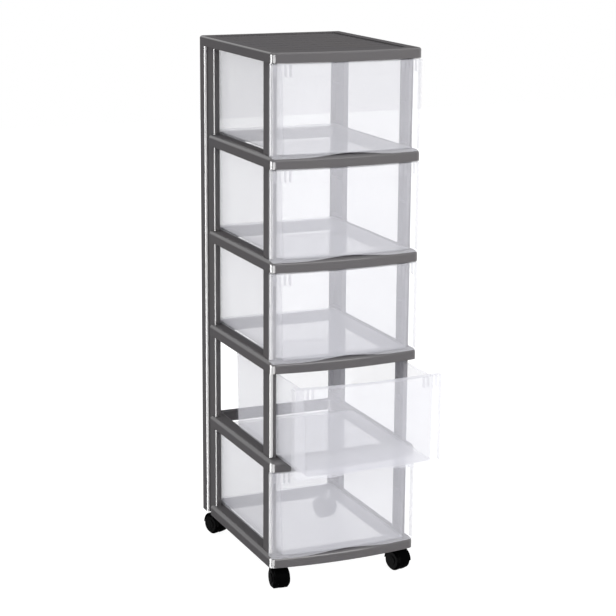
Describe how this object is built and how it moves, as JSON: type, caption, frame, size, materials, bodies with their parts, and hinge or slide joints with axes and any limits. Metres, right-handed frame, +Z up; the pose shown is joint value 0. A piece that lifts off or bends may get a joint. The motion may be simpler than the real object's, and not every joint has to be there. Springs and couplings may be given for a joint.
{
  "type": "drawer tower",
  "caption": "Tall narrow storage tower on casters: clear bowed-front drawers between grey frames and corner posts, under a ribbed top plate; one drawer is pulled out.",
  "frame": {"origin": "on the floor, under the middle of the whole object's box with one drawer pulled out", "axes": "+Z up, +Y towards the back, so the drawers open towards -Y; +X to the right as seen from the front"},
  "size_m": [0.29, 0.4814, 0.985],
  "materials": {
    "frame_plastic": "satin grey moulded plastic",
    "clear_plastic": "clear, faintly lilac, glossy moulded plastic",
    "caster_plastic": "black glossy nylon",
    "pin_steel": "plain zinc-plated steel"
  },
  "bodies": {
    "tower": {"top_plate": "frame_plastic", "base_frame": "frame_plastic", "shelf_frame_1": "frame_plastic", "shelf_frame_2": "frame_plastic", "shelf_frame_3": "frame_plastic", "shelf_frame_4": "frame_plastic", "front_post_left_1": "frame_plastic", "front_post_left_2": "frame_plastic", "front_post_left_3": "frame_plastic", "front_post_left_4": "frame_plastic", "front_post_left_5": "frame_plastic", "front_post_right_1": "frame_plastic", "front_post_right_2": "frame_plastic", "front_post_right_3": "frame_plastic", "front_post_right_4": "frame_plastic", "front_post_right_5": "frame_plastic", "rear_post_left_1": "frame_plastic", "rear_post_left_2": "frame_plastic", "rear_post_left_3": "frame_plastic", "rear_post_left_4": "frame_plastic", "rear_post_left_5": "frame_plastic", "rear_post_right_1": "frame_plastic", "rear_post_right_2": "frame_plastic", "rear_post_right_3": "frame_plastic", "rear_post_right_4": "frame_plastic", "rear_post_right_5": "frame_plastic"},
    "drawer_1_body": {"drawer_1": "clear_plastic"},
    "drawer_2_body": {"drawer_2": "clear_plastic"},
    "drawer_3_body": {"drawer_3": "clear_plastic"},
    "drawer_4_body": {"drawer_4": "clear_plastic"},
    "drawer_5_body": {"drawer_5": "clear_plastic"},
    "caster_front_left": {"caster_housing_front_left": "caster_plastic", "caster_stem_front_left": "pin_steel", "caster_axle_front_left": "pin_steel"},
    "wheel_a_front_left_body": {"wheel_a_front_left": "caster_plastic"},
    "wheel_b_front_left_body": {"wheel_b_front_left": "caster_plastic"},
    "caster_front_right": {"caster_housing_front_right": "caster_plastic", "caster_stem_front_right": "pin_steel", "caster_axle_front_right": "pin_steel"},
    "wheel_a_front_right_body": {"wheel_a_front_right": "caster_plastic"},
    "wheel_b_front_right_body": {"wheel_b_front_right": "caster_plastic"},
    "caster_rear_left": {"caster_housing_rear_left": "caster_plastic", "caster_stem_rear_left": "pin_steel", "caster_axle_rear_left": "pin_steel"},
    "wheel_a_rear_left_body": {"wheel_a_rear_left": "caster_plastic"},
    "wheel_b_rear_left_body": {"wheel_b_rear_left": "caster_plastic"},
    "caster_rear_right": {"caster_housing_rear_right": "caster_plastic", "caster_stem_rear_right": "pin_steel", "caster_axle_rear_right": "pin_steel"},
    "wheel_a_rear_right_body": {"wheel_a_rear_right": "caster_plastic"},
    "wheel_b_rear_right_body": {"wheel_b_rear_right": "caster_plastic"}
  },
  "joints": [
    {"name": "drawer_1_slide", "type": "slide", "parent": "tower", "child": "drawer_1_body", "axis": [0, -1, 0], "range_m": [0, 0.24]},
    {"name": "drawer_2_slide", "type": "slide", "parent": "tower", "child": "drawer_2_body", "axis": [0, -1, 0], "range_m": [-0.105, 0.135]},
    {"name": "drawer_3_slide", "type": "slide", "parent": "tower", "child": "drawer_3_body", "axis": [0, -1, 0], "range_m": [0, 0.24]},
    {"name": "drawer_4_slide", "type": "slide", "parent": "tower", "child": "drawer_4_body", "axis": [0, -1, 0], "range_m": [0, 0.24]},
    {"name": "drawer_5_slide", "type": "slide", "parent": "tower", "child": "drawer_5_body", "axis": [0, -1, 0], "range_m": [0, 0.24]},
    {"name": "caster_swivel_front_left", "type": "hinge", "parent": "tower", "child": "caster_front_left", "pos_m": [-0.118, -0.0826, 0.047], "axis": [0, 0, 1], "continuous": true},
    {"name": "wheel_a_spin_front_left", "type": "hinge", "parent": "caster_front_left", "child": "wheel_a_front_left_body", "pos_m": [-0.11957, -0.10053, 0.02], "axis": [0.9962, -0.0872, 0], "continuous": true},
    {"name": "wheel_b_spin_front_left", "type": "hinge", "parent": "caster_front_left", "child": "wheel_b_front_left_body", "pos_m": [-0.11957, -0.10053, 0.02], "axis": [0.9962, -0.0872, 0], "continuous": true},
    {"name": "caster_swivel_front_right", "type": "hinge", "parent": "tower", "child": "caster_front_right", "pos_m": [0.118, -0.0826, 0.047], "axis": [0, 0, 1], "continuous": true},
    {"name": "wheel_a_spin_front_right", "type": "hinge", "parent": "caster_front_right", "child": "wheel_a_front_right_body", "pos_m": [0.12356, -0.09972, 0.02], "axis": [0.9511, 0.309, 0], "continuous": true},
    {"name": "wheel_b_spin_front_right", "type": "hinge", "parent": "caster_front_right", "child": "wheel_b_front_right_body", "pos_m": [0.12356, -0.09972, 0.02], "axis": [0.9511, 0.309, 0], "continuous": true},
    {"name": "caster_swivel_rear_left", "type": "hinge", "parent": "tower", "child": "caster_rear_left", "pos_m": [-0.118, 0.1994, 0.047], "axis": [0, 0, 1], "continuous": true},
    {"name": "wheel_a_spin_rear_left", "type": "hinge", "parent": "caster_rear_left", "child": "wheel_a_rear_left_body", "pos_m": [-0.12416, 0.21631, 0.02], "axis": [-0.9397, -0.342, 0], "continuous": true},
    {"name": "wheel_b_spin_rear_left", "type": "hinge", "parent": "caster_rear_left", "child": "wheel_b_rear_left_body", "pos_m": [-0.12416, 0.21631, 0.02], "axis": [-0.9397, -0.342, 0], "continuous": true},
    {"name": "caster_swivel_rear_right", "type": "hinge", "parent": "tower", "child": "caster_rear_right", "pos_m": [0.118, 0.1994, 0.047], "axis": [0, 0, 1], "continuous": true},
    {"name": "wheel_a_spin_rear_right", "type": "hinge", "parent": "caster_rear_right", "child": "wheel_a_rear_right_body", "pos_m": [0.11184, 0.21631, 0.02], "axis": [-0.9397, -0.342, 0], "continuous": true},
    {"name": "wheel_b_spin_rear_right", "type": "hinge", "parent": "caster_rear_right", "child": "wheel_b_rear_right_body", "pos_m": [0.11184, 0.21631, 0.02], "axis": [-0.9397, -0.342, 0], "continuous": true}
  ]
}
